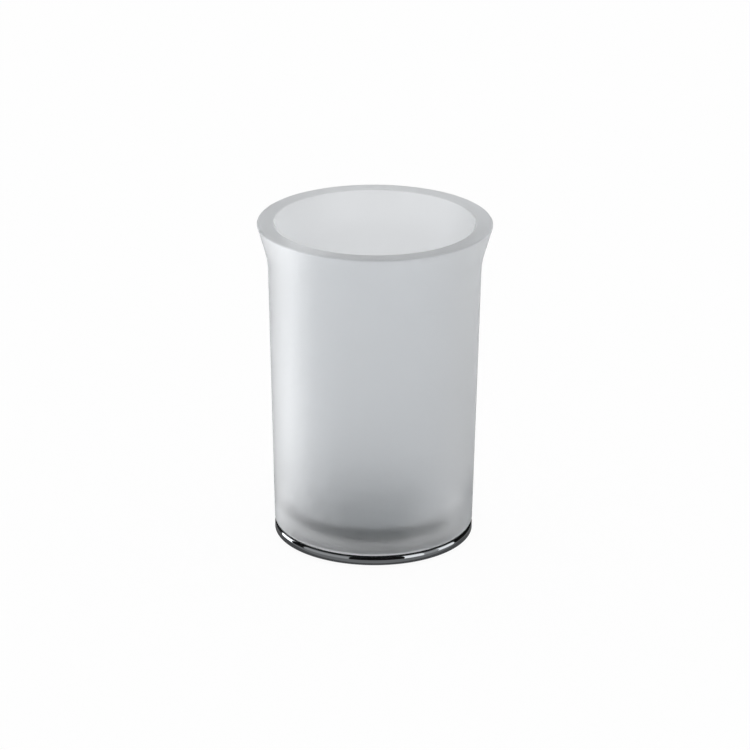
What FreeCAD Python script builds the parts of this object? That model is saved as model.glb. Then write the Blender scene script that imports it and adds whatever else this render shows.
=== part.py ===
"""Bathroom tumbler: a satin glass bonded to a chrome-plated base plate that stands on a non-slip pad.

Sizes are in millimetres. +Z is up, and the origin is the centre of the face that the tumbler stands on.
Every piece is turned or moulded about the Z axis, so the outlines are half sections in the XZ plane.
"""
import FreeCAD, Part
import enum
import math
import os
import Sketcher

# Driving sizes: name, value in millimetres, what it is
SIZES = [
    ("total_height", 113.0, "from the resting face to the top of the rim"),
    ("rim_diameter", 80.4, "outside of the rim before its edges are rounded, 80.0 after"),
    ("rim_width", 6.0, "top of the rim from its outer to its inner edge, before they are rounded"),
    ("rim_round", 0.7, "rounding of the rim's two edges"),
    ("flare_height", 17.0, "from the start of the flare to the top of the rim"),
    ("flare_spread", 3.9, "how far the rim stands out all round beyond the start of the flare"),
    ("lip_height", 9.8, "straight upper part of the flare"),
    ("taper", 1.9, "how far the wall draws in all round from the flare down to the foot"),
    ("wall", 4.8, "thickness of the glass wall, measured level"),
    ("floor_thickness", 3.0, "floor of the glass, from its underside to the level part inside"),
    ("floor_corner", 9.0, "rounding where the inside wall meets the floor"),
    ("foot_round", 1.6, "rounding of the lower outside edge of the glass"),
    ("base_thickness", 3.1, "base plate"),
    ("base_top_round", 1.2, "rounding of the plate's upper edge"),
    ("base_bottom_round", 0.4, "rounding of the plate's lower edge"),
    ("bond_inset", 6.0, "from the plate's edge to the bond recess"),
    ("bond_depth", 0.5, "depth of the bond recess, which the bond fills"),
    ("bond_clearance", 0.1, "free space round the bond in its recess"),
    ("pad_inset", 4.0, "from the plate's edge to the pad recess"),
    ("pad_recess", 0.9, "depth of the pad recess"),
    ("pad_clearance", 0.3, "free space round the pad in its recess"),
    ("pad_projection", 0.8, "how far the pad stands out below the plate"),
    ("pad_chamfer", 0.3, "chamfer of the pad's lower edge"),
]

# Lengths that several pieces share, worked out from the driving sizes
GLASS_HEIGHT = "(Sizes.total_height - Sizes.base_thickness - Sizes.pad_projection)"
NECK_HEIGHT = f"({GLASS_HEIGHT} - Sizes.flare_height)"
SEAT_HEIGHT = "(Sizes.pad_projection + Sizes.base_thickness)"
RIM_RADIUS = "(Sizes.rim_diameter / 2)"
NECK_RADIUS = f"({RIM_RADIUS} - Sizes.flare_spread)"
FOOT_RADIUS = f"({NECK_RADIUS} - Sizes.taper)"
BOND_RECESS_RADIUS = f"({FOOT_RADIUS} - Sizes.bond_inset)"
PAD_RECESS_RADIUS = f"({FOOT_RADIUS} - Sizes.pad_inset)"
LARGEST_ROUND = 0.45  # of a wall: an edge round is never a larger share of the wall that carries it
TOUCHING = 1e-6

UP = FreeCAD.Vector(0, 0, 1)


class Axis(enum.IntEnum):
    """A sketch's own two axes, as its constraints number them."""

    ACROSS = -1
    UPRIGHT = -2


class Spot(enum.IntEnum):
    """The point of a sketch line, arc or axis that a constraint holds."""

    START = 1
    END = 2
    CENTRE = 3


ORIGIN_POINT = (Axis.ACROSS, Spot.START)


def make_sheet(doc):
    """Puts the driving sizes into a spreadsheet, one to a row, each with its name as alias."""
    sheet = doc.addObject("Spreadsheet::Sheet", "Sizes")
    for row, (name, value, note) in enumerate(SIZES, start=1):
        sheet.set(f"A{row}", name)
        sheet.set(f"B{row}", str(value))
        sheet.set(f"C{row}", note)
        sheet.setAlias(f"B{row}", name)
    doc.recompute()
    return sheet


def length(sheet, expression):
    """The value of an expression in the driving sizes, as a plain number."""
    value = sheet.evalExpression(expression)
    return float(getattr(value, "Value", value))


def new_body(doc, label, height):
    """An empty body whose own origin lies at a height above the resting face."""
    body = doc.addObject("PartDesign::Body", label)
    body.Label = label
    body.setExpression("Placement.Base.z", height)
    return body


def new_sketch(body, name, role, height=None):
    """A sketch on one of the body's origin planes, or at a height above it."""
    sketch = body.newObject("Sketcher::SketchObject", name)
    plane = next(plane for plane in body.Origin.OriginFeatures if plane.Role == role)
    sketch.AttachmentSupport = [(plane, "")]
    sketch.MapMode = "FlatFace"
    if height:
        sketch.setExpression("AttachmentOffset.Base.z", height)
    return sketch


def bind(sketch, kind, places, sheet, expression):
    """Adds a dimension between sketch points and ties it to the driving sizes."""
    index = sketch.addConstraint(Sketcher.Constraint(kind, *places, length(sheet, expression)))
    sketch.setExpression(f"Constraints[{index}]", expression)


def set_point(sketch, sheet, point, across=None, up=None):
    """Fixes a point of a half section by its distance from the axis, its height, or both. None is free."""
    if across:
        bind(sketch, "DistanceX", (*ORIGIN_POINT, *point), sheet, across)
    if up:
        bind(sketch, "DistanceY", (*ORIGIN_POINT, *point), sheet, up)


def add_circle(sketch, sheet, radius):
    """A circle about the origin with a bound radius."""
    circle = sketch.addGeometry(Part.Circle(FreeCAD.Vector(), UP, length(sheet, radius)))
    sketch.addConstraint(Sketcher.Constraint("Coincident", circle, Spot.CENTRE, *ORIGIN_POINT))
    bind(sketch, "Radius", (circle,), sheet, radius)


def lip_angle(rise, lip, spread, lean):
    """The angle from upright of a straight lip, where an arc of height rise leads from a wall at angle lean
    to a lip of height lip, and both together widen by spread. It is found by halving an interval."""
    low, high = lean, math.radians(85)
    for _ in range(60):
        middle = (low + high) / 2
        widens = rise * math.tan((middle + lean) / 2) + lip * math.tan(middle)
        low, high = (middle, high) if widens < spread else (low, middle)
    return low


def flared_outline(sketch, sheet, low, neck, rim):
    """A closed half section: level from the axis to low, up a leaning wall to neck, out along an arc and a
    straight lip to rim, and back to the axis. Each corner is a pair of expressions, radius and height."""
    wall_foot, wall_top, lip_top = [
        FreeCAD.Vector(length(sheet, across), length(sheet, up), 0) for across, up in (low, neck, rim)
    ]
    lip = length(sheet, "Sizes.lip_height")
    rise = lip_top.y - wall_top.y - lip
    lean = math.atan2(wall_top.x - wall_foot.x, wall_top.y - wall_foot.y)
    turned = lip_angle(rise, lip, lip_top.x - wall_top.x, lean)
    radius = rise / (math.sin(turned) - math.sin(lean))
    middle = wall_top + FreeCAD.Vector(math.cos(lean), -math.sin(lean), 0) * radius
    lip_foot = middle + FreeCAD.Vector(-math.cos(turned), math.sin(turned), 0) * radius
    axis_foot = FreeCAD.Vector(0, wall_foot.y, 0)
    axis_top = FreeCAD.Vector(0, lip_top.y, 0)

    floor = sketch.addGeometry(Part.LineSegment(axis_foot, wall_foot))
    side = sketch.addGeometry(Part.LineSegment(wall_foot, wall_top))
    turn = sketch.addGeometry(
        Part.ArcOfCircle(Part.Circle(middle, UP, radius), math.pi - turned, math.pi - lean)
    )
    flare = sketch.addGeometry(Part.LineSegment(lip_foot, lip_top))
    top = sketch.addGeometry(Part.LineSegment(lip_top, axis_top))
    axis = sketch.addGeometry(Part.LineSegment(axis_top, axis_foot))

    for one, other in ((floor, side), (flare, top), (top, axis), (axis, floor)):
        sketch.addConstraint(Sketcher.Constraint("Coincident", one, Spot.END, other, Spot.START))
    sketch.addConstraint(Sketcher.Constraint("Tangent", side, Spot.END, turn, Spot.END))
    sketch.addConstraint(Sketcher.Constraint("Tangent", turn, Spot.START, flare, Spot.START))
    sketch.addConstraint(Sketcher.Constraint("Horizontal", floor))
    sketch.addConstraint(Sketcher.Constraint("Horizontal", top))
    for end in (Spot.START, Spot.END):
        sketch.addConstraint(Sketcher.Constraint("PointOnObject", axis, end, Axis.UPRIGHT))
    if wall_foot.y > TOUCHING:
        set_point(sketch, sheet, (side, Spot.START), *low)
    else:
        sketch.addConstraint(Sketcher.Constraint("PointOnObject", side, Spot.START, Axis.ACROSS))
        set_point(sketch, sheet, (side, Spot.START), across=low[0])
    set_point(sketch, sheet, (side, Spot.END), *neck)
    set_point(sketch, sheet, (flare, Spot.START), up=f"{rim[1]} - Sizes.lip_height")
    set_point(sketch, sheet, (flare, Spot.END), *rim)


def turned(body, kind, sketch):
    """Turns a half section round the Z axis: a Revolution adds it and a Groove cuts it away."""
    feature = body.newObject(f"PartDesign::{kind}", f"{sketch.Name}_turned")
    feature.Profile = sketch
    feature.ReferenceAxis = (sketch, ["V_Axis"])
    feature.Angle = 360
    body.Document.recompute()
    return feature


def raised(body, kind, sketch, depth, reversed_way=False):
    """A Pad or Pocket of a bound depth. A pocket runs against the sketch's normal unless it is reversed."""
    feature = body.newObject(f"PartDesign::{kind}", f"{sketch.Name}_{kind.lower()}")
    feature.Profile = sketch
    feature.Reversed = reversed_way
    feature.setExpression("Length", depth)
    body.Document.recompute()
    return feature


def ring_edges(feature, sheet, rings):
    """The names of a feature's circular edges about the axis, given by pairs of radius and height."""
    names = []
    for across, up in rings:
        radius, height = length(sheet, across), length(sheet, up)
        for number, edge in enumerate(feature.Shape.Edges, start=1):
            if edge.Degenerated or not isinstance(edge.Curve, Part.Circle):
                continue
            circle = edge.Curve
            if abs(circle.Radius - radius) < TOUCHING and abs(circle.Center.z - height) < TOUCHING:
                names.append(f"Edge{number}")
    if len(names) != len(rings):
        raise RuntimeError(f"{feature.Name}: found {len(names)} of {len(rings)} edges")
    return names


def eased(body, kind, feature, sheet, rings, size_name, size):
    """A Fillet or Chamfer of ring edges, with a bound size."""
    ease = body.newObject(f"PartDesign::{kind}", f"{body.Name}_{size_name}")
    ease.Base = (feature, ring_edges(feature, sheet, rings))
    ease.setExpression("Radius" if kind == "Fillet" else "Size", size)
    body.Document.recompute()
    return ease


def limited(size, wall):
    """An edge round that never takes more than its share of the wall that carries it."""
    return f"min({size}; {LARGEST_ROUND} * {wall})"


def glass_tumbler(doc, sheet):
    """The moulded glass: a leaning wall with a flared rim, and a round-cornered floor that is flat below."""
    body = new_body(doc, "glass_tumbler", SEAT_HEIGHT)
    foot = (FOOT_RADIUS, "0")
    neck = (NECK_RADIUS, NECK_HEIGHT)
    rim = (RIM_RADIUS, GLASS_HEIGHT)
    blank = new_sketch(body, "glass_blank", "XZ_Plane")
    flared_outline(blank, sheet, foot, neck, rim)
    turned(body, "Revolution", blank)

    # The inside wall runs parallel to the outside, so the floor's radius follows the lean of the wall.
    lean = f"Sizes.taper / {NECK_HEIGHT}"
    floor = (f"({FOOT_RADIUS} + {lean} * Sizes.floor_thickness - Sizes.wall)", "Sizes.floor_thickness")
    inner_neck = (f"({NECK_RADIUS} - Sizes.wall)", NECK_HEIGHT)
    inner_rim = (f"({RIM_RADIUS} - Sizes.rim_width)", GLASS_HEIGHT)
    cavity = new_sketch(body, "glass_cavity", "XZ_Plane")
    flared_outline(cavity, sheet, floor, inner_neck, inner_rim)
    shape = turned(body, "Groove", cavity)

    rim_round = limited("Sizes.rim_round", "Sizes.rim_width")
    shape = eased(body, "Fillet", shape, sheet, [rim, inner_rim], "rim_round", rim_round)
    shape = eased(body, "Fillet", shape, sheet, [floor], "floor_corner", "Sizes.floor_corner")
    eased(body, "Fillet", shape, sheet, [foot], "foot_round", "Sizes.foot_round")
    return body


def base_plate(doc, sheet):
    """The turned metal plate, with a round recess for the bond on top and one for the pad below."""
    body = new_body(doc, "base_plate", "Sizes.pad_projection")
    disc = new_sketch(body, "plate_disc", "XY_Plane")
    add_circle(disc, sheet, FOOT_RADIUS)
    raised(body, "Pad", disc, "Sizes.base_thickness")

    bond_recess = new_sketch(body, "plate_bond_recess", "XY_Plane", "Sizes.base_thickness")
    add_circle(bond_recess, sheet, BOND_RECESS_RADIUS)
    raised(body, "Pocket", bond_recess, "Sizes.bond_depth")

    pad_recess = new_sketch(body, "plate_pad_recess", "XY_Plane")
    add_circle(pad_recess, sheet, PAD_RECESS_RADIUS)
    shape = raised(body, "Pocket", pad_recess, "Sizes.pad_recess", reversed_way=True)

    top_round = limited("Sizes.base_top_round", "Sizes.base_thickness")
    top_edge = (FOOT_RADIUS, "Sizes.base_thickness")
    shape = eased(body, "Fillet", shape, sheet, [top_edge], "base_top_round", top_round)
    bottom_round = limited("Sizes.base_bottom_round", "Sizes.base_thickness")
    eased(body, "Fillet", shape, sheet, [(FOOT_RADIUS, "0")], "base_bottom_round", bottom_round)
    return body


def bond_disc(doc, sheet):
    """The cured disc of clear adhesive that fills the plate's upper recess and holds the glass down."""
    body = new_body(doc, "bond_disc", f"{SEAT_HEIGHT} - Sizes.bond_depth")
    disc = new_sketch(body, "bond_outline", "XY_Plane")
    add_circle(disc, sheet, f"{BOND_RECESS_RADIUS} - Sizes.bond_clearance")
    raised(body, "Pad", disc, "Sizes.bond_depth")
    return body


def non_slip_pad(doc, sheet):
    """The rubber disc in the plate's recess, which the tumbler stands on."""
    body = new_body(doc, "non_slip_pad", "0")
    radius = f"({PAD_RECESS_RADIUS} - Sizes.pad_clearance)"
    disc = new_sketch(body, "pad_disc", "XY_Plane")
    add_circle(disc, sheet, radius)
    shape = raised(body, "Pad", disc, "Sizes.pad_projection + Sizes.pad_recess")
    chamfer = limited("Sizes.pad_chamfer", "Sizes.pad_projection")
    eased(body, "Chamfer", shape, sheet, [(radius, "0")], "pad_chamfer", chamfer)
    return body


def check_document(doc, bodies):
    """Stops the build if any object failed or a piece isn't one valid, closed solid."""
    for thing in doc.Objects:
        if "Invalid" in thing.State or "Error" in thing.State:
            raise RuntimeError(f"{thing.Label} failed: {thing.State}")
    for body in bodies:
        shape = body.Shape
        if shape.isNull() or not shape.isValid() or len(shape.Solids) != 1:
            raise RuntimeError(f"{body.Label} isn't one valid solid")


def main():
    doc = FreeCAD.newDocument("bathroom_tumbler")
    sheet = make_sheet(doc)
    makers = (glass_tumbler, bond_disc, base_plate, non_slip_pad)
    bodies = [make(doc, sheet) for make in makers]
    doc.recompute()
    check_document(doc, bodies)
    os.makedirs("parts", exist_ok=True)
    for body in bodies:
        body.Shape.exportStep(os.path.join("parts", f"{body.Label}.step"))
        box = body.Shape.optimalBoundingBox(False)
        print(
            f"{body.Label}: {body.Shape.Volume / 1000:.2f} cm3, diameter {box.XLength:.2f} mm, "
            f"z {box.ZMin:.2f} to {box.ZMax:.2f} mm"
        )


main()
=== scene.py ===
# %% [markdown]
# # A bathroom tumbler of satin glass on a chrome base
#
# The real object is a heavy tumbler for a washbasin. One thick moulded glass, etched to a satin,
# stands on a thin polished plate that is flush with its foot, and the plate stands on a rubber pad.
# Everything on it is round, so every piece in this lesson is one half section, drawn in millimetres and
# turned about the upright axis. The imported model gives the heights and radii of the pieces, and the
# drawing adds the sizes that a box can't show.

# %% Load the frame
import math

import bpy
import numpy as np
from mathutils import Matrix, Vector


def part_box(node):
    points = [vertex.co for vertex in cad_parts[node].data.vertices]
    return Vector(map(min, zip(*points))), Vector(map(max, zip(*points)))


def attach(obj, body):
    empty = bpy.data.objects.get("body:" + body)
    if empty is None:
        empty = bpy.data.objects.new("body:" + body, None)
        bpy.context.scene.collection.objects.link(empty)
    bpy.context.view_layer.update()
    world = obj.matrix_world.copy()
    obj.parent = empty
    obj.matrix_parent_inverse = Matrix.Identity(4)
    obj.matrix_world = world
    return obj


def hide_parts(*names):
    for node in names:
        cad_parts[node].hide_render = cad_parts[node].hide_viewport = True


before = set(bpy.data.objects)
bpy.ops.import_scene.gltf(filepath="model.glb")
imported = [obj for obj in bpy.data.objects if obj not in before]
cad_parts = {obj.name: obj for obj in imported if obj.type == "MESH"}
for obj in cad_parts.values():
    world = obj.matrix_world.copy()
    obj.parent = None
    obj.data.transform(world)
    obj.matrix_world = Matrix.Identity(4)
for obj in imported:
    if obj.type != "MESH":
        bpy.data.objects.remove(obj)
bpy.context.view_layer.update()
scene = bpy.context.scene
print("frame nodes:", ", ".join(sorted(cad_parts)))

# %% [markdown]
# ## The sizes of the real thing
#
# A maker would write these on a drawing. The frame already holds every piece at its real size, so what a
# box can give is read from it, and the glass, the plate and the pad then meet where they should. The
# wall, the rounds and the flare are inside the outline, so they are written here. Blender works in
# metres, and one factor turns the drawing into the scene.

# %% Sizes in millimetres
MM = 0.001


def round_piece(node):
    """The radius, underside and top of a round node in millimetres, from its box in the frame."""
    low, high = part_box(node)
    return high.x / MM, low.z / MM, high.z / MM


FOOT_RADIUS, PLATE_UNDERSIDE, SEAT = round_piece("base_plate")
TOTAL_HEIGHT = round_piece("glass_tumbler")[2]
BOND_RADIUS, BOND_UNDERSIDE, _ = round_piece("bond_disc")
PAD_RADIUS, _, PAD_TOP = round_piece("non_slip_pad")
TAPER = 1.9
FLARE_SPREAD = 3.9
FLARE_HEIGHT = 17.0
LIP_HEIGHT = 9.8
RIM_WIDTH = 6.0
RIM_ROUND = 0.7
WALL = 4.8
FLOOR_THICKNESS = 3.0
FLOOR_CORNER = 9.0
FOOT_ROUND = 1.6
NECK_RADIUS = FOOT_RADIUS + TAPER
NECK_HEIGHT = TOTAL_HEIGHT - FLARE_HEIGHT
RIM_RADIUS = NECK_RADIUS + FLARE_SPREAD
print(f"foot {2 * FOOT_RADIUS:.1f} mm, neck {2 * NECK_RADIUS:.1f} mm, rim {2 * RIM_RADIUS:.1f} mm across")

# %% [markdown]
# ## A half section with rounded corners
#
# Moulded glass and turned metal have no sharp corners, and the rounds are what catch the light. A bevel
# modifier could round a coarse mesh, but its steps would show in polished metal. Here each corner of the
# section is replaced by a true arc that touches both of its sides, in steps so small that a reflection
# runs over them smoothly.


# %% Rounded half sections
def rounded_section(corners, straight_step=2.5, arc_step=math.radians(3)):
    """Points (radius, height) along a line of corners (radius, height, round). At each inner corner, the
    line leaves one side at round * tan(turn / 2) before the corner, follows an arc of that radius, and joins
    the next side as far after it. Straight runs are divided every straight_step millimetres and arcs every
    arc_step radians."""
    corners = np.asarray(corners, float)
    points, rounds = corners[:, :2], corners[:, 2]
    runs = [points[:1]]
    for index in range(1, len(points)):
        here, radius = points[index], rounds[index]
        before = here - points[index - 1]
        before /= np.linalg.norm(before)
        arc = here[None]
        if radius > 0:
            after = points[index + 1] - here
            after /= np.linalg.norm(after)
            turn = math.atan2(before[0] * after[1] - before[1] * after[0], before @ after)
            inward = np.array([-before[1], before[0]]) * math.copysign(1, turn)
            start = here - before * radius * math.tan(abs(turn) / 2)
            angles = np.linspace(0, abs(turn), math.ceil(abs(turn) / arc_step) + 1)[:, None]
            arc = start + inward * radius * (1 - np.cos(angles)) + before * radius * np.sin(angles)
        end = runs[-1][-1]
        count = math.ceil(np.linalg.norm(arc[0] - end) / straight_step)
        share = np.linspace(0, 1, max(1, count) + 1)[1:-1, None]
        runs += [end + (arc[0] - end) * share, arc]
    return np.concatenate(runs)


# %% [markdown]
# ## Turning a section about the axis
#
# Blender's Screw modifier turns a profile too, but it leaves a seam to weld and gives no say over the
# poles. Working the rings out as one array is as short, and the skin comes out closed: each ring is
# joined to the next by quads, and the two ends of the section, which lie on the axis, become single
# points with a fan of triangles.


# %% Turned skins
def turned_piece(name, section, replaced, around=256):
    """A closed skin: the section's point i, at radius r and height h, is carried round the axis to
    (r cos a, r sin a, h) for even steps of the angle a. The piece stands for a node of the frame."""
    angles = np.linspace(0, 2 * np.pi, around, endpoint=False)
    rings = section[1:-1]
    x = rings[:, :1] * np.cos(angles)
    y = rings[:, :1] * np.sin(angles)
    z = np.repeat(rings[:, 1:], around, axis=1)
    poles = np.array([[0, 0, section[0, 1]], [0, 0, section[-1, 1]]])
    points = np.concatenate([np.stack([x, y, z], axis=-1).reshape(-1, 3), poles]) * MM
    ring = np.arange(around)
    after = np.roll(ring, -1)
    low = np.arange(len(rings) - 1)[:, None] * around
    high = low + around
    quads = np.stack([low + ring, low + after, high + after, high + ring], axis=-1).reshape(-1, 4)
    first, last = len(points) - 2, len(points) - 1
    top = (len(rings) - 1) * around
    fans = np.concatenate([
        np.stack([np.full(around, first), after, ring], axis=-1),
        np.stack([np.full(around, last), top + ring, top + after], axis=-1),
    ])
    mesh = bpy.data.meshes.new(name)
    mesh.from_pydata(points.tolist(), [], quads.tolist() + fans.tolist())
    mesh.shade_smooth()
    piece = bpy.data.objects.new(name, mesh)
    scene.collection.objects.link(piece)
    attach(piece, "root")
    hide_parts(replaced)
    print(f"{name}: {len(points)} points, {2 * len(quads) + len(fans)} triangles")
    return piece


# %% [markdown]
# ## The glass
#
# The wall leans out a little from the foot, turns outwards through an arc, and ends in a straight lip
# with a flat top. The inside repeats that line a wall's thickness further in and sweeps round into the
# floor. Seen through the front, that wide corner turns the view down into the plate, and it shows as a
# soft dark crescent low in the glass. Light has to enter and leave real glass for this to happen by
# itself, so the piece is one closed skin that runs from under the foot, over the rim and down to the
# floor, and not a thin shell.


# %% The flare and the glass skin
STEEPEST_LIP = math.radians(85)
HALVINGS = 60


def flare_corner(neck, rim, lean):
    """The sharp corner and the round of a flare: a wall at angle lean from upright turns through an arc that
    ends LIP_HEIGHT below the rim. The lip's angle a solves
    rise * tan((a + lean) / 2) + LIP_HEIGHT * tan(a) = spread, and is found by halving an interval. The arc's
    radius is rise / (sin a - sin lean)."""
    rise = rim[1] - neck[1] - LIP_HEIGHT
    low, high = lean, STEEPEST_LIP
    for _ in range(HALVINGS):
        angle = (low + high) / 2
        spread = rise * math.tan((angle + lean) / 2) + LIP_HEIGHT * math.tan(angle)
        low, high = (angle, high) if spread < rim[0] - neck[0] else (low, angle)
    radius = rise / (math.sin(low) - math.sin(lean))
    reach = radius * math.tan((low - lean) / 2)
    return neck[0] + reach * math.sin(lean), neck[1] + reach * math.cos(lean), radius


LEAN = math.atan2(TAPER, NECK_HEIGHT - SEAT)
FLOOR = SEAT + FLOOR_THICKNESS
FLOOR_RADIUS = FOOT_RADIUS + FLOOR_THICKNESS * math.tan(LEAN) - WALL
INNER_RIM_RADIUS = RIM_RADIUS - RIM_WIDTH
glass = turned_piece("satin_glass_cup", rounded_section([
    (0, SEAT, 0),
    (FOOT_RADIUS, SEAT, FOOT_ROUND),
    flare_corner((NECK_RADIUS, NECK_HEIGHT), (RIM_RADIUS, TOTAL_HEIGHT), LEAN),
    (RIM_RADIUS, TOTAL_HEIGHT, RIM_ROUND),
    (INNER_RIM_RADIUS, TOTAL_HEIGHT, RIM_ROUND),
    flare_corner((NECK_RADIUS - WALL, NECK_HEIGHT), (INNER_RIM_RADIUS, TOTAL_HEIGHT), LEAN),
    (FLOOR_RADIUS, FLOOR, FLOOR_CORNER),
    (0, FLOOR, 0),
]), "glass_tumbler")

# %% [markdown]
# ## The base plate, the bond and the pad
#
# The plate is a turned disc with a well-rounded upper edge. A shallow recess in its top holds the clear
# adhesive that grips the glass, and one below holds a rubber pad. Two skins in the very same place would
# flicker, and glass has to be left before metal is met, so a hair's breadth stays free between each piece
# and the next.

# %% Plate, bond and pad
HAIR = 0.03
BOND_CLEARANCE = 0.1
PAD_CLEARANCE = 0.3
PAD_CHAMFER = 0.3
BASE_TOP_ROUND = 1.2
BASE_BOTTOM_ROUND = 0.4
EDGE_BREAK = 0.08
plate_top = SEAT - HAIR
plate = turned_piece("chrome_base_plate", rounded_section([
    (0, PAD_TOP, 0),
    (PAD_RADIUS + PAD_CLEARANCE, PAD_TOP, EDGE_BREAK),
    (PAD_RADIUS + PAD_CLEARANCE, PLATE_UNDERSIDE, EDGE_BREAK),
    (FOOT_RADIUS, PLATE_UNDERSIDE, BASE_BOTTOM_ROUND),
    (FOOT_RADIUS, plate_top, BASE_TOP_ROUND),
    (BOND_RADIUS + BOND_CLEARANCE, plate_top, EDGE_BREAK),
    (BOND_RADIUS + BOND_CLEARANCE, BOND_UNDERSIDE, EDGE_BREAK),
    (0, BOND_UNDERSIDE, 0),
]), "base_plate", around=320)

bond_top = SEAT - HAIR
bond = turned_piece("clear_bond_disc", rounded_section([
    (0, BOND_UNDERSIDE + HAIR, 0),
    (BOND_RADIUS, BOND_UNDERSIDE + HAIR, EDGE_BREAK),
    (BOND_RADIUS, bond_top, EDGE_BREAK),
    (0, bond_top, 0),
]), "bond_disc")

pad_top = PAD_TOP - HAIR
pad = turned_piece("rubber_pad", rounded_section([
    (0, 0, 0),
    (PAD_RADIUS - PAD_CHAMFER, 0, EDGE_BREAK),
    (PAD_RADIUS, PAD_CHAMFER, EDGE_BREAK),
    (PAD_RADIUS, pad_top, EDGE_BREAK),
    (0, pad_top, 0),
]), "non_slip_pad")

# %% [markdown]
# ## Colours and nodes
#
# A colour on a paint card is an sRGB code, but light adds up in linear values, so one function turns the
# first into the second. Materials are trees of nodes. One small function adds a node, sets its values and
# joins its inputs, so that each material below reads like a recipe. Patterns follow the object's own
# coordinates, in metres, so their scale is one over the size of a grain.


# %% Helpers for materials
def linear(code):
    """An sRGB hex colour as linear red, green and blue, with an alpha of 1."""
    parts = np.array([int(code[start:start + 2], 16) for start in (1, 3, 5)]) / 255
    return (*np.where(parts <= 0.04045, parts / 12.92, ((parts + 0.055) / 1.055) ** 2.4).tolist(), 1.0)


def node(tree, kind, settings, links=None):
    """Adds a node. A setting goes to the node's property of that name, or else to the input of that name or
    number, and a link goes to an input."""
    made = tree.nodes.new(kind)
    for key, value in settings.items():
        if str(key) in made.bl_rna.properties:
            setattr(made, key, value)
        else:
            made.inputs[key].default_value = value
    for key, output in (links or {}).items():
        tree.links.new(output, made.inputs[key])
    return made


def new_tree(block):
    """The empty node tree of a new material or world."""
    block.use_nodes = True
    block.node_tree.nodes.clear()
    return block.node_tree


def per_metre(size):
    """The pattern scale that gives a grain of a size in millimetres."""
    return 1 / (size * MM)


# %% [markdown]
# ## Acid-etched glass
#
# The cup is moulded soda-lime glass. Its outside is dipped in acid that eats microscopic pits into it:
# light still goes through, but each pit bends it another way, so the wall glows like pale fog. The inside
# is only rinsed with the acid, which leaves a finer satin that is easy to clean. The underside is ground
# and polished flat for the adhesive. The rim is ground flat, and its flat top is tinted a shade greyer,
# which is painted shade. A mix of white paint and transparency would look flat. Rough transmission in a
# solid of glass gives the bright wall towards the light, the grey of a double wall and the dark crescent
# by itself. The finish follows from where a point lies, and the acid never bites quite evenly, which is a
# slow change in roughness and tint.

# %% Glass, moulded and etched
ETCH_GRAIN = 0.5  # real pits are far under 0.1 mm and are drawn coarser, so that they show
ETCH_CLOUD = 16.0
ETCH_DEPTH = 0.004
ETCHED, RINSED = (0.57, 0.63), (0.22, 0.28)  # roughness, from and to
material = bpy.data.materials.new("soda_lime_glass_moulded_acid_etched")
tree = new_tree(material)
place = node(tree, "ShaderNodeTexCoord", {}).outputs["Object"]
cloud = node(tree, "ShaderNodeTexNoise", {"Scale": per_metre(ETCH_CLOUD), "Detail": 3.0}, {"Vector": place})
grain = node(tree, "ShaderNodeTexNoise", {"Scale": per_metre(ETCH_GRAIN), "Detail": 1.0}, {"Vector": place})
clouded = node(tree, "ShaderNodeMix", {"data_type": "RGBA", 6: linear("#eceef0"), 7: linear("#f2f4f6")},
               {0: cloud.outputs[0]})
etched = node(tree, "ShaderNodeMapRange", {"To Min": ETCHED[0], "To Max": ETCHED[1]},
              {"Value": cloud.outputs[0]})
rinsed = node(tree, "ShaderNodeMapRange", {"To Min": RINSED[0], "To Max": RINSED[1]},
              {"Value": cloud.outputs[0]})
print(f"etched clouds of {ETCH_CLOUD} mm, grain of {ETCH_GRAIN} mm")

# %% Where the glass is rinsed and polished, and where the top of the rim gets painted shade
ABOVE_THE_SEAT = 0.02
BELOW_THE_RIM = 0.3
flat = node(tree, "ShaderNodeVectorMath", {"operation": "MULTIPLY", 1: (1, 1, 0)}, {0: place})
radius = node(tree, "ShaderNodeVectorMath", {"operation": "LENGTH"}, {0: flat.outputs[0]}).outputs[1]
height = node(tree, "ShaderNodeSeparateXYZ", {}, {0: place}).outputs[2]
within = node(tree, "ShaderNodeMath", {"operation": "LESS_THAN", 1: INNER_RIM_RADIUS * MM}, {0: radius})
above = node(tree, "ShaderNodeMath", {"operation": "GREATER_THAN", 1: (SEAT + FOOT_ROUND) * MM}, {0: height})
inside = node(tree, "ShaderNodeMath", {"operation": "MULTIPLY"}, {0: within.outputs[0], 1: above.outputs[0]})
seat_end = SEAT + ABOVE_THE_SEAT
below = node(tree, "ShaderNodeMath", {"operation": "LESS_THAN", 1: seat_end * MM}, {0: height})
# From here up to the top of the rim, the glass gets painted shade: a greyer tint.
rim_start = TOTAL_HEIGHT - BELOW_THE_RIM
rim_painted_shade = node(tree, "ShaderNodeMath", {"operation": "GREATER_THAN", 1: rim_start * MM}, {0: height})
print(f"polished below {seat_end:.2f} mm, rim shade painted above {rim_start:.2f} mm")

# %% The glass finish
POLISHED = 0.05
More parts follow.
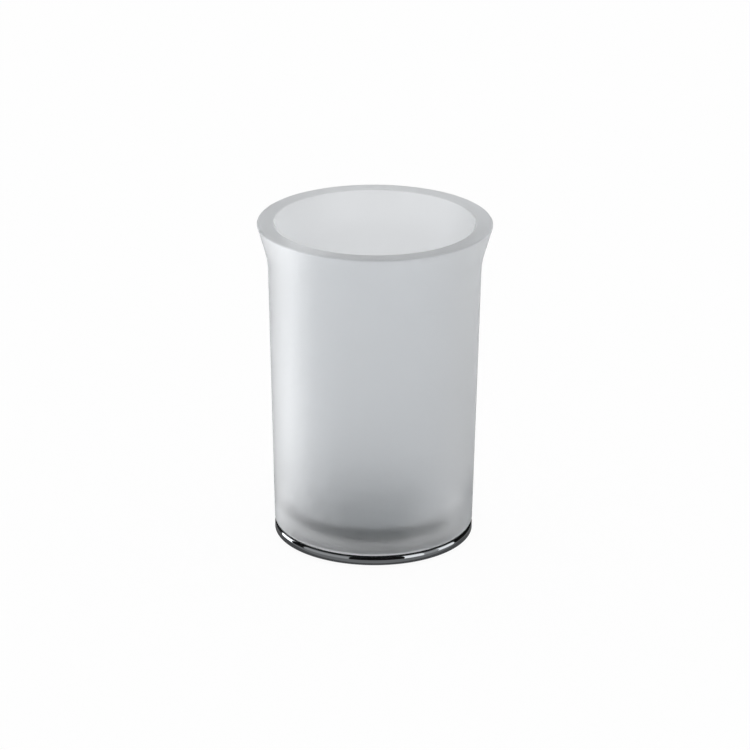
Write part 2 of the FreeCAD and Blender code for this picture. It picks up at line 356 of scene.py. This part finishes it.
# Painted shade: the flat top of the rim is tinted grey.
tint = node(tree, "ShaderNodeMix", {"data_type": "RGBA", 7: linear("#d4d6d8")}, {
    0: rim_painted_shade.outputs[0], 6: clouded.outputs[2]})
satin = node(tree, "ShaderNodeMix", {"data_type": "FLOAT"}, {
    0: inside.outputs[0], 2: etched.outputs[0], 3: rinsed.outputs[0]})
rough = node(tree, "ShaderNodeMix", {"data_type": "FLOAT", 3: POLISHED}, {
    0: below.outputs[0], 2: satin.outputs[0]})
pits = node(tree, "ShaderNodeBump", {"Strength": 1.0, "Distance": ETCH_DEPTH * MM},
            {"Height": grain.outputs[0]})
clear = node(tree, "ShaderNodeBsdfPrincipled", {"IOR": 1.5, "Transmission Weight": 1.0}, {
    "Base Color": tint.outputs[2], "Roughness": rough.outputs[0], "Normal": pits.outputs[0]})
node(tree, "ShaderNodeOutputMaterial", {}, {"Surface": clear.outputs[0]})
glass.data.materials.append(material)
print("made", material.name)

# %% [markdown]
# ## Chrome plate
#
# The plate is turned brass, polished on a wheel and plated. Chrome is a grey mirror: what it shows is
# what stands round it, as dark and bright bands. A perfect mirror looks drawn, so the polish is made
# real. Fine lines run round the wall where the wheel passed, and a faint haze changes the gloss from
# place to place. Near the top of the plate, under the glass, the colour is painted near black: painted
# shade of the groove between glass and plate, which draws a thin line round the foot.

# %% Brass, turned, polished and chrome plated
POLISH_LINE = 0.25  # real polishing lines are a few microns wide and are drawn coarser, so that they show
POLISH_HAZE = 9.0
POLISH_DEPTH = 0.0006
ROUND_THE_WALL = (0.05, 0.05, 1.0)
# Painted shade in the groove: the plate's colour turns near black from the first depth below its top and is
# fully dark from the second.
GROOVE_SHADE_BEGINS, GROOVE_SHADE_FULL = 0.45, 0.25  # below the top of the plate
MIRROR = (0.03, 0.08)  # roughness, from and to
material = bpy.data.materials.new("brass_turned_polished_chrome_plated")
tree = new_tree(material)
place = node(tree, "ShaderNodeTexCoord", {}).outputs["Object"]
drawn_out = node(tree, "ShaderNodeMapping", {"Scale": ROUND_THE_WALL}, {"Vector": place})
lines = node(tree, "ShaderNodeTexNoise", {"Scale": per_metre(POLISH_LINE), "Detail": 2.0},
             {"Vector": drawn_out.outputs[0]})
haze = node(tree, "ShaderNodeTexNoise", {"Scale": per_metre(POLISH_HAZE), "Detail": 4.0}, {"Vector": place})
polished = node(tree, "ShaderNodeMix", {"data_type": "RGBA", 6: linear("#a0a3a6"), 7: linear("#a9acaf")},
                {0: haze.outputs[0]})
height = node(tree, "ShaderNodeSeparateXYZ", {}, {0: place}).outputs[2]
groove_painted_shade = node(tree, "ShaderNodeMapRange", {
    "From Min": (plate_top - GROOVE_SHADE_BEGINS) * MM, "From Max": (plate_top - GROOVE_SHADE_FULL) * MM},
    {"Value": height})
# Painted shade: near the top of the plate the colour is a near black, a dark line in the groove round the
# foot.
colour = node(tree, "ShaderNodeMix", {"data_type": "RGBA", 7: linear("#2c2d2e")}, {
    0: groove_painted_shade.outputs[0], 6: polished.outputs[2]})
rough = node(tree, "ShaderNodeMapRange", {"To Min": MIRROR[0], "To Max": MIRROR[1]},
             {"Value": haze.outputs[0]})
wheel = node(tree, "ShaderNodeBump", {"Strength": 1.0, "Distance": POLISH_DEPTH * MM},
             {"Height": lines.outputs[0]})
mirror = node(tree, "ShaderNodeBsdfPrincipled", {"Metallic": 1.0}, {
    "Base Color": colour.outputs[2], "Roughness": rough.outputs[0], "Normal": wheel.outputs[0]})
node(tree, "ShaderNodeOutputMaterial", {}, {"Surface": mirror.outputs[0]})
plate.data.materials.append(material)
print("made", material.name)

# %% [markdown]
# ## Clear adhesive
#
# Glass is fixed to metal with an acrylic adhesive that light cures through the glass. It is clear, so
# that the plate still shows through it, with faint flow marks where it was pressed out. A plain
# transparent disc would have no surface at all. Here it is a soft glass of its own, and the flow marks
# change its gloss and its skin.

# %% Acrylic adhesive, pressed out and cured
FLOW_MARK = 3.0
FLOW_DEPTH = 0.02
PRESSED = (0.15, 0.3)  # roughness, from and to
material = bpy.data.materials.new("acrylic_adhesive_clear_cured")
tree = new_tree(material)
place = node(tree, "ShaderNodeTexCoord", {}).outputs["Object"]
flow = node(tree, "ShaderNodeTexNoise", {"Scale": per_metre(FLOW_MARK), "Detail": 4.0}, {"Vector": place})
tint = node(tree, "ShaderNodeMix", {"data_type": "RGBA", 6: linear("#f4f4f0"), 7: linear("#fafaf8")},
            {0: flow.outputs[0]})
rough = node(tree, "ShaderNodeMapRange", {"To Min": PRESSED[0], "To Max": PRESSED[1]},
             {"Value": flow.outputs[0]})
skin = node(tree, "ShaderNodeBump", {"Strength": 1.0, "Distance": FLOW_DEPTH * MM},
            {"Height": flow.outputs[0]})
clear = node(tree, "ShaderNodeBsdfPrincipled", {"IOR": 1.48, "Transmission Weight": 1.0}, {
    "Base Color": tint.outputs[2], "Roughness": rough.outputs[0], "Normal": skin.outputs[0]})
node(tree, "ShaderNodeOutputMaterial", {}, {"Surface": clear.outputs[0]})
bond.data.materials.append(material)
print("made", material.name)

# %% [markdown]
# ## Rubber pad
#
# The pad is moulded rubber and isn't made to be looked at. It is dull because the grain of its mould
# scatters light, so it is a plain rough surface whose grain changes the colour, the gloss and the skin a
# little.

# %% Rubber, moulded with a fine grain
PAD_GRAIN = 0.6
PAD_GRAIN_DEPTH = 0.03
DULL = (0.75, 0.9)  # roughness, from and to
material = bpy.data.materials.new("rubber_moulded_fine_grain")
tree = new_tree(material)
place = node(tree, "ShaderNodeTexCoord", {}).outputs["Object"]
grain = node(tree, "ShaderNodeTexNoise", {"Scale": per_metre(PAD_GRAIN), "Detail": 4.0}, {"Vector": place})
colour = node(tree, "ShaderNodeMix", {"data_type": "RGBA", 6: linear("#8f8f8d"), 7: linear("#a3a3a1")},
              {0: grain.outputs[0]})
rough = node(tree, "ShaderNodeMapRange", {"To Min": DULL[0], "To Max": DULL[1]}, {"Value": grain.outputs[0]})
skin = node(tree, "ShaderNodeBump", {"Strength": 1.0, "Distance": PAD_GRAIN_DEPTH * MM},
            {"Height": grain.outputs[0]})
matt = node(tree, "ShaderNodeBsdfPrincipled", {}, {
    "Base Color": colour.outputs[2], "Roughness": rough.outputs[0], "Normal": skin.outputs[0]})
node(tree, "ShaderNodeOutputMaterial", {}, {"Surface": matt.outputs[0]})
pad.data.materials.append(material)
print("made", material.name)

# %% [markdown]
# ## The camera
#
# The photograph was taken from a little above, with a long lens, so the sides of the glass look nearly
# parallel. The rim and the foot are ellipses in it, and how flat they are gives the camera's height. The
# small roll and shift put the axis of the tumbler where it stands in the picture.

# %% Camera
PICTURE = 750
SENSOR = 36.0
AXIS_PIXEL = (374.22, 376.7)
FOCAL_PIXELS = 3457
DISTANCE = 1190
ELEVATION = math.radians(21.46)
ROLL = math.radians(0.292)
camera_data = bpy.data.cameras.new("camera")
camera = bpy.data.objects.new("camera", camera_data)
scene.collection.objects.link(camera)
right = Vector((1, 0, 0))
back = Vector((0, -math.cos(ELEVATION), math.sin(ELEVATION)))
turn = Matrix((right, back.cross(right), back)).transposed() @ Matrix.Rotation(ROLL, 3, "Z")
centre = Vector((0, 0, TOTAL_HEIGHT / 2))
camera.matrix_world = Matrix.Translation((centre + back * DISTANCE) * MM) @ turn.to_4x4()
camera_data.sensor_width = SENSOR
camera_data.lens = FOCAL_PIXELS / PICTURE * SENSOR
camera_data.shift_x = (PICTURE / 2 - AXIS_PIXEL[0]) / PICTURE
camera_data.shift_y = (AXIS_PIXEL[1] - PICTURE / 2) / PICTURE
scene.camera = camera
scene.view_settings.view_transform = "Standard"
print(f"camera {DISTANCE} mm away, lens {camera_data.lens:.1f} mm")

# %% [markdown]
# ## The floor and the white room
#
# The tumbler stands on a pale table in a white room. A lit white floor is never even, so most of what the
# eye sees of it is a steady white, and the rest is a real diffuse floor that carries the shadow. Light
# Path tells the two apart: the camera sees mostly the white, metal and glass see a share of it, and light
# on the object comes from the room.


# %% What each ray sees, and sheets of the set
def looked_at(tree, by_camera, in_mirror, unseen):
    """One number for rays from the camera, one for rays from metal or glass, and one for all other rays."""
    path = node(tree, "ShaderNodeLightPath", {})
    mirrored = node(tree, "ShaderNodeMath", {"operation": "MAXIMUM"}, {
        0: path.outputs["Is Glossy Ray"], 1: path.outputs["Is Transmission Ray"]})
    indirect = node(tree, "ShaderNodeMapRange", {"To Min": unseen, "To Max": in_mirror},
                    {"Value": mirrored.outputs[0]})
    return node(tree, "ShaderNodeMix", {"data_type": "FLOAT", 3: by_camera}, {
        0: path.outputs["Is Camera Ray"], 2: indirect.outputs[0]})


def staged_mesh(name, points, faces, material):
    """A sheet of the set, which isn't part of the object."""
    mesh = bpy.data.meshes.new(name)
    mesh.from_pydata(points, [], faces)
    mesh.materials.append(material)
    sheet = bpy.data.objects.new(name, mesh)
    scene.collection.objects.link(sheet)
    return sheet


# %% The table
TABLE_HALF = 4.0
BELOW_PAD = -1e-4
WHITE_TO_CAMERA = 0.94
WHITE_IN_MIRROR = 0.8
FLOOR_IN_MIRROR = 0.72
FLOOR_WHITE = linear("#ededed")
WHITE = linear("#ffffff")
material = bpy.data.materials.new("table_pale_matt")
tree = new_tree(material)
lit = node(tree, "ShaderNodeBsdfDiffuse", {"Color": FLOOR_WHITE})
level = looked_at(tree, 1.0, FLOOR_IN_MIRROR, 0.0)
steady = node(tree, "ShaderNodeEmission", {"Color": WHITE}, {"Strength": level.outputs[0]})
share = looked_at(tree, WHITE_TO_CAMERA, WHITE_IN_MIRROR, 0.0)
mix = node(tree, "ShaderNodeMixShader", {}, {0: share.outputs[0], 1: lit.outputs[0], 2: steady.outputs[0]})
node(tree, "ShaderNodeOutputMaterial", {}, {"Surface": mix.outputs[0]})
corners = [(x * TABLE_HALF, y * TABLE_HALF, BELOW_PAD) for x, y in ((-1, -1), (1, -1), (1, 1), (-1, 1))]
staged_mesh("table", corners, [(0, 1, 2, 3)], material)
print(f"made a table {2 * TABLE_HALF} m wide")

# %% The white room
ROOM_LIGHT = 1.0
CEILING_IN_MIRROR = 0.56
world = bpy.data.worlds.new("white_room")
scene.world = world
tree = new_tree(world)
brightness = looked_at(tree, 1.0, CEILING_IN_MIRROR, ROOM_LIGHT)
room = node(tree, "ShaderNodeBackground", {"Color": WHITE}, {"Strength": brightness.outputs[0]})
node(tree, "ShaderNodeOutputWorld", {}, {"Surface": room.outputs[0]})
print("made", world.name)

# %% [markdown]
# ## Softboxes
#
# In an even white room, satin glass loses its shape. Area lamps could bring it out, but a card that glows
# can also curve round the object and lie on the table. These stand in a wide ring, brightest on the left,
# with a dark flag at the back left and a reflector on the table. They stay out of the picture, throw no
# shadow and show only in glass, metal and other glossy skins.


# %% A ring of cards
def ring_of_cards(cards, hidden, step):
    """Curved cards round the axis, which glow evenly. Each is a name, two angles in degrees right of the
    camera, the radius and height of its two edges in metres, and a level. At the angle a, an edge of radius r
    and height h lies at (r sin a, -r cos a, h), and straight quads join the two edges."""
    for name, start, end, (low_radius, low_height), (high_radius, high_height), level in cards:
        material = bpy.data.materials.new(name)
        tree = new_tree(material)
        glow = node(tree, "ShaderNodeEmission", {"Color": WHITE, "Strength": level})
        node(tree, "ShaderNodeOutputMaterial", {}, {"Surface": glow.outputs[0]})
        angles = np.radians(np.linspace(start, end, math.ceil((end - start) / step) + 1))
        away = np.stack([np.sin(angles), -np.cos(angles), np.zeros(len(angles))], axis=-1)
        foot = low_radius * away + (0, 0, low_height)
        head = high_radius * away + (0, 0, high_height)
        first = np.arange(len(angles) - 1)
        quads = np.stack([first, first + 1, first + 1 + len(angles), first + len(angles)], axis=-1)
        card = staged_mesh(name, np.concatenate([foot, head]).tolist(), quads.tolist(), material)
        for rays in hidden:
            setattr(card, rays, False)
    print("made", ", ".join(card[0] for card in cards))


# %% Softboxes
TABLE, LOW, MIDDLE, HIGH = (1.5, 0.0), (1.5, 0.32), (1.5, 1.05), (1.5, 2.6)
REFLECTOR_NEAR, REFLECTOR_FAR = (0.07, 0.0), (0.5, 0.0)
UNSEEN = ["visible_camera", "visible_shadow", "visible_diffuse"]
SOFTBOXES = [
    ("softbox_left", -120, -30, TABLE, MIDDLE, 2.0),
    ("softbox_left_high", -120, -30, MIDDLE, HIGH, 1.2),
    ("panel_front_low", -30, 120, TABLE, LOW, 0.8),
    ("panel_front", -30, 120, LOW, HIGH, 1.65),
    ("panel_right_back", 120, 180, TABLE, HIGH, 1.3),
    ("panel_back", 180, 210, TABLE, HIGH, 1.1),
    ("flag_back_left", 210, 240, TABLE, HIGH, 0.05),
    ("reflector_left", -135, -90, REFLECTOR_NEAR, REFLECTOR_FAR, 2.2),
]
ring_of_cards(SOFTBOXES, UNSEEN, step=6.0)

# %% [markdown]
# ## Small cards round the base
#
# The polished plate would mirror the softboxes as one even grey, and it needs black and white bands with
# sharp ends to look like chrome. Its rounded edge mirrors upwards, so cards that lie flat on the table
# don't show in it. A dark sheet surrounds the base instead, darker next to it, which is a painted shadow
# of the tumbler on the table, and small dark and light cards stand on its edge and lean inwards. The
# camera doesn't see them, and light that passes through the glass doesn't either.

# %% Small cards round the base
SHADOW_INNER_EDGE, SHADOW_MIDDLE_EDGE, NEAR, OVER = (0.0346, 0.0), (0.038, 0.0), (0.045, 0.0), (0.038, 0.020)
BASE_CARDS = [
    # Painted shadow: two dark rings on the table, darker next to the base, stand for the tumbler's shadow
    # there.
    ("base_painted_shadow_inner", -180, 180, SHADOW_INNER_EDGE, SHADOW_MIDDLE_EDGE, 0.15),
    ("base_painted_shadow_outer", -180, 180, SHADOW_MIDDLE_EDGE, NEAR, 0.33),
    ("base_flag_far_left", -130, -84, NEAR, OVER, 0.05),
    ("base_light_left", -84, -68, NEAR, OVER, 4.0),
    ("base_flag_left", -68, -54, NEAR, OVER, 0.01),
    ("base_panel_left", -54, -17, NEAR, OVER, 0.6),
    ("base_flag_front", -17, 22, NEAR, OVER, 0.01),
    ("base_panel_right", 22, 37, NEAR, OVER, 1.9),
    ("base_gap_right", 37, 50, NEAR, OVER, 0.6),
    ("base_light_right", 50, 67, NEAR, OVER, 1.9),
    ("base_flag_right", 67, 130, NEAR, OVER, 0.01),
]
ring_of_cards(BASE_CARDS, [*UNSEEN, "visible_transmission"], step=2.0)
